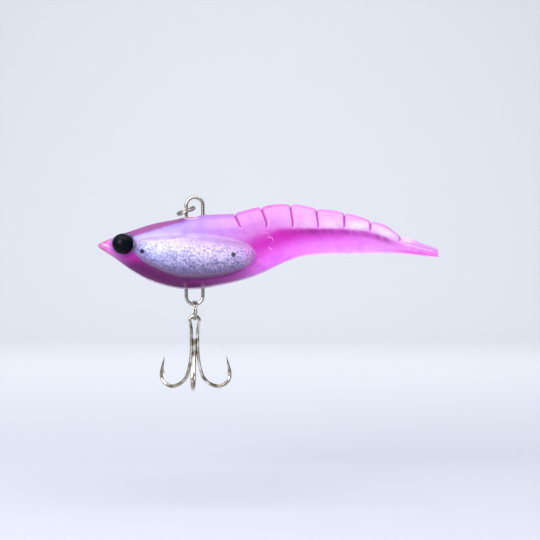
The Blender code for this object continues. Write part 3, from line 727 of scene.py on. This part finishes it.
# Black plastic, from a polished mould: deep and dark, with a soft blue-grey light on it
bead_black, tree = new_finish("black_moulded_bead")
place = add_node(tree, "TexCoord", {}, {})
smear = add_node(tree, "TexNoise", {}, {"Vector": place.outputs["Object"], "Scale": 700.0, "Detail": 4.0})
haze = add_node(tree, "MapRange", {}, {"Value": smear.outputs["Fac"], "To Min": 0.18, "To Max": 0.34})
glaze = add_node(tree, "ValToRGB", {"stops": [(0.3, colour("#010204")), (0.8, colour("#061019"))]},
                 {"Fac": smear.outputs["Fac"]})
shader = add_node(tree, "BsdfPrincipled", {}, {
    "Base Color": glaze.outputs["Color"], "Roughness": haze.outputs["Result"], "IOR": 1.49,
    "Specular IOR Level": 0.08})
add_node(tree, "OutputMaterial", {}, {"Surface": shader.outputs["BSDF"]})
for name, node, hand in (("near_bead", "left_eye", -1), ("far_bead", "right_eye", 1)):
    centre = (EYE_CENTRE[0] * MM, hand * EYE_CENTRE[1] * MM, EYE_CENTRE[2] * MM)
    deselect()
    bpy.ops.mesh.primitive_uv_sphere_add(segments=64, ring_count=32, radius=EYE_R * MM, location=centre,
                                         rotation=(math.radians(90), 0, 0))
    bead = edit_new(name)
    bpy.ops.object.mode_set(mode="OBJECT")
    cut_round_holes(bead, [(EYE_CENTRE[0], EYE_CENTRE[2], EYE_PIN_HOLE_R,
                            hand * EYE_PIN_HOLE_FROM, hand * EYE_PIN_HOLE_TO)])
    close_up(bead)
    fit(bead, bead_black, "lure", "black_bead", node)
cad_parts["eye_pin"].data.materials.clear()
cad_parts["eye_pin"].data.materials.append(bright_wire)

# ---------------------------------------------------------------- split rings
# Each ring is two turns of flat steel wire side by side, with a step where one turn crosses to the
# other. One carries the line and lies forward on the back; the other hangs in the hanger.
RING_R = 2.4
RING_DEEP, RING_WIDE, RING_CORNER = 0.46, 0.46, 0.13
TURN_PITCH = 0.56
RING_START, RING_STEP_HALF = 34, 25
RING_STEPS = 180
RING_SEAT = 0.37
LINE_RING_CENTRE = (-2.25, 0, -1.45)
LINE_RING_TILT = math.radians(21)
HOOK_RING_TURN = math.radians(8)


def make_split_ring(name, centre, first, second, body, node):
    """Two flat turns, made lying down at the origin and then stood up in their two directions."""
    deselect()
    bpy.ops.mesh.primitive_plane_add(size=MM, rotation=(math.radians(90), 0, 0))
    ring = edit_new(name)
    bpy.ops.transform.resize(value=(RING_DEEP, 1, RING_WIDE))
    bpy.ops.mesh.bevel(offset=RING_CORNER * MM, segments=3, affect="VERTICES")
    bpy.ops.transform.translate(value=(RING_R * MM, 0, -TURN_PITCH / 2 * MM))
    shift = -TURN_PITCH / 2
    whole_turn = 720 - 2 * RING_START
    turn = math.radians(whole_turn) / RING_STEPS
    for k in range(1, RING_STEPS + 1):
        degrees = RING_START + whole_turn * k / RING_STEPS
        new_shift = TURN_PITCH * (float(ease(degrees, 360 - RING_STEP_HALF, 360 + RING_STEP_HALF)) - 0.5)
        bpy.ops.mesh.extrude_region_move(TRANSFORM_OT_translate={"value": (0, 0, (new_shift - shift) * MM)})
        bpy.ops.transform.rotate(value=-turn, orient_axis="Z", center_override=(0, 0, 0))
        shift = new_shift
    close_up(ring)
    first, second = Vector(first), Vector(second)
    stand = Matrix((first, second, first.cross(second))).transposed().to_4x4()
    start = Matrix.Rotation(math.radians(RING_START), 4, "Z")
    ring.matrix_world = Matrix.Translation([d * MM for d in centre]) @ stand @ start
    bpy.ops.object.transform_apply(location=True, rotation=True, scale=True)
    fit(ring, bright_wire, body, "bright_wire", node)


make_split_ring("line_split_ring", LINE_RING_CENTRE, (0, 1, 0),
                (-math.cos(LINE_RING_TILT), 0, -math.sin(LINE_RING_TILT)), "line_ring", "line_ring")
hook_ring_z = (HANGER_Z - WIRE_BEND_R + WIRE_R) / MM + RING_SEAT - RING_R
make_split_ring("hook_split_ring", (0, 0, hook_ring_z),
                (-math.sin(HOOK_RING_TURN), math.cos(HOOK_RING_TURN), 0), (0, 0, 1), "hook_ring", "hook_ring")

# ---------------------------------------------------------------- treble hook
# Two hooks bent from one length of hard steel wire, its middle coiled into the eye, and a third
# soldered into the groove between their shanks. The steel is tinned, and ground to needle points.
HOOK_R = 0.425
HOOK_EYE_R = 1.25
HOOK_EYE_DROP = 0.25
HOOK_EYE_FROM, HOOK_EYE_BY, HOOK_EYE_STEPS = -20, 220, 36
HOOK_LENGTH = 17.6
HOOK_BEND = [(0, 11), (0.05, 9), (0.45, 6.1), (1.6, 2.65), (3.8, 0.7), (6.55, 0), (8.75, 0.95), (9.6, 2.5),
             (9.4, 4.4), (8.95, 6.4), (8.5, 8)]
PAIR_SHANK_X = 0.84
PAIR_NECK = [(PAIR_SHANK_X, -3.3), (PAIR_SHANK_X + 0.02, -2.3), (PAIR_SHANK_X + 0.19, -1.25)]
THIRD_SHANK_Y = -0.48
THIRD_TOP_DROP = 4.7
POINT_TAPER = 3.8
NEEDLE_R = 0.05
FORGED = 0.12
BARB_FROM_POINT, BARB_LIFT, BARB_LONG, BARB_STEPS = 3.1, 0.95, 1.55, 8
BARB_ROOT_R, BARB_TIP_R = 0.3, 0.07
hook_eye_z = hook_ring_z - RING_R - HOOK_EYE_DROP
bend_z = hook_eye_z - HOOK_LENGTH


def smooth_path(points, steps):
    """Points on a smooth line through the given ones, steps to each stretch."""
    curves = [outline(list(enumerate(column))) for column in np.array(points, float).T]
    places = np.linspace(0, len(points) - 1, (len(points) - 1) * steps + 1)
    return np.stack([curve(places) for curve in curves], axis=1)


def wire_mesh(name, path, radii):
    """A round wire along the path, with its own radius at each point, as a closed mesh."""
    deselect()
    line = bpy.data.curves.new(name, "CURVE")
    line.dimensions = "3D"
    line.bevel_depth = MM
    line.bevel_resolution = 5
    line.use_fill_caps = True
    spline = line.splines.new("POLY")
    spline.points.add(len(path) - 1)
    for point, place, radius in zip(spline.points, path, radii):
        point.co = (*[d * MM for d in place], 1)
        point.radius = radius
    wire = bpy.data.objects.new(name, line)
    bpy.context.scene.collection.objects.link(wire)
    wire.select_set(True)
    bpy.context.view_layer.objects.active = wire
    bpy.ops.object.convert(target="MESH")
    close_up(bpy.context.object)
    return bpy.context.object


def hook_side(shank, out):
    """One hook's line from the top of its bend to its point."""
    bend = smooth_path(HOOK_BEND, 10)
    return [(shank[0] + r * out[0], shank[1] + r * out[1], bend_z + h) for r, h in bend]


def point_radii(line):
    """Full thickness, then an even taper to the needle point."""
    steps = [math.dist(a, b) for a, b in zip(line, line[1:])]
    left = np.cumsum([0] + steps[::-1])[::-1]
    forged = 1 + FORGED * np.sin(np.pi * np.clip(np.arange(len(line)) / (len(line) - 1), 0, 1)) ** 2
    return [max(NEEDLE_R, HOOK_R * f * min(1.0, (far / POINT_TAPER) ** 0.85)) for far, f in zip(left, forged)]


def add_barb(hook, line, out):
    """A sliver cut up from the wire under the point, its free end lifted towards the shank."""
    left, i = 0.0, len(line) - 1
    while left < BARB_FROM_POINT:
        left += math.dist(line[i], line[i - 1])
        i -= 1
    start = line[i]
    path = []
    for share in np.linspace(0, 1, BARB_STEPS):
        lift = BARB_LIFT * share ** 1.4
        path.append((start[0] - lift * out[0], start[1] - lift * out[1], start[2] - BARB_LONG * share))
    barb = wire_mesh("barb", path, np.linspace(BARB_ROOT_R, BARB_TIP_R, BARB_STEPS))
    union = hook.modifiers.new("barb", "BOOLEAN")
    union.operation = "UNION"
    union.solver = "EXACT"
    union.object = barb
    apply_all(hook)
    bpy.data.objects.remove(barb)


outs = {"left": (-math.cos(math.pi / 6), math.sin(math.pi / 6)),
        "right": (math.cos(math.pi / 6), math.sin(math.pi / 6)), "third": (0, -1)}
left_line = hook_side((-PAIR_SHANK_X, 0), outs["left"])
right_line = hook_side((PAIR_SHANK_X, 0), outs["right"])
neck = smooth_path(PAIR_NECK, 6)
eye_turn = [math.radians(HOOK_EYE_FROM + HOOK_EYE_BY * k / HOOK_EYE_STEPS) for k in range(HOOK_EYE_STEPS + 1)]
eye_line = [(x, 0, hook_eye_z + z) for x, z in neck]
eye_line += [(HOOK_EYE_R * math.cos(a), 0, hook_eye_z + HOOK_EYE_R * math.sin(a)) for a in eye_turn]
eye_line += [(-x, 0, hook_eye_z + z) for x, z in neck[::-1]]
pair = wire_mesh("double_hook", right_line[::-1] + eye_line + left_line,
                 point_radii(right_line)[::-1] + [HOOK_R] * len(eye_line) + point_radii(left_line))
add_barb(pair, left_line, outs["left"])
add_barb(pair, right_line, outs["right"])
third_line = [(0, THIRD_SHANK_Y, hook_eye_z - THIRD_TOP_DROP)] + hook_side((0, THIRD_SHANK_Y), outs["third"])
third = wire_mesh("single_hook", third_line, [HOOK_R] + point_radii(third_line[1:]))
add_barb(third, third_line, outs["third"])

# Tinned high-carbon steel: mirror gloss, warm and brownish where the tin is thin, white where it is thick
tinned, tree = new_finish("tinned_hook_steel")
place = add_node(tree, "TexCoord", {}, {})
patches = add_node(tree, "TexNoise", {}, {"Vector": place.outputs["Object"], "Scale": 420.0, "Detail": 5.0})
tone = add_node(tree, "ValToRGB", {"stops": [
    (0.36, colour("#7d7362")), (0.5, colour("#b5ac98")), (0.64, colour("#efebe2"))]},
    {"Fac": patches.outputs["Fac"]})
gloss = add_node(tree, "MapRange", {}, {"Value": patches.outputs["Fac"], "To Min": 0.06, "To Max": 0.2})
dents = add_node(tree, "Bump", {}, {"Strength": 0.2, "Distance": 0.00004, "Height": patches.outputs["Fac"]})
shader = add_node(tree, "BsdfPrincipled", {}, {
    "Base Color": tone.outputs["Color"], "Metallic": 1.0, "Roughness": gloss.outputs["Result"],
    "Normal": dents.outputs["Normal"]})
add_node(tree, "OutputMaterial", {}, {"Surface": shader.outputs["BSDF"]})
for hook, node in ((pair, "hook_pair"), (third, "third_hook")):
    close_up(hook)
    fit(hook, tinned, "treble", "hook_steel", node)

# Solder: soft grey metal that ran between the shanks and cooled with a slightly pitted skin
solder, tree = new_finish("tin_lead_solder")
place = add_node(tree, "TexCoord", {}, {})
pits = add_node(tree, "TexNoise", {}, {"Vector": place.outputs["Object"], "Scale": 1800.0, "Detail": 4.0})
tone = add_node(tree, "ValToRGB", {"stops": [(0.3, colour("#8f8c85")), (0.7, colour("#c9c7c2"))]},
                {"Fac": pits.outputs["Fac"]})
skin_bump = add_node(tree, "Bump", {}, {"Strength": 0.5, "Distance": 0.00006, "Height": pits.outputs["Fac"]})
shader = add_node(tree, "BsdfPrincipled", {}, {
    "Base Color": tone.outputs["Color"], "Metallic": 1.0, "Roughness": 0.38,
    "Normal": skin_bump.outputs["Normal"]})
add_node(tree, "OutputMaterial", {}, {"Surface": shader.outputs["BSDF"]})
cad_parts["solder_seam"].data.materials.clear()
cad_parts["solder_seam"].data.materials.append(solder)
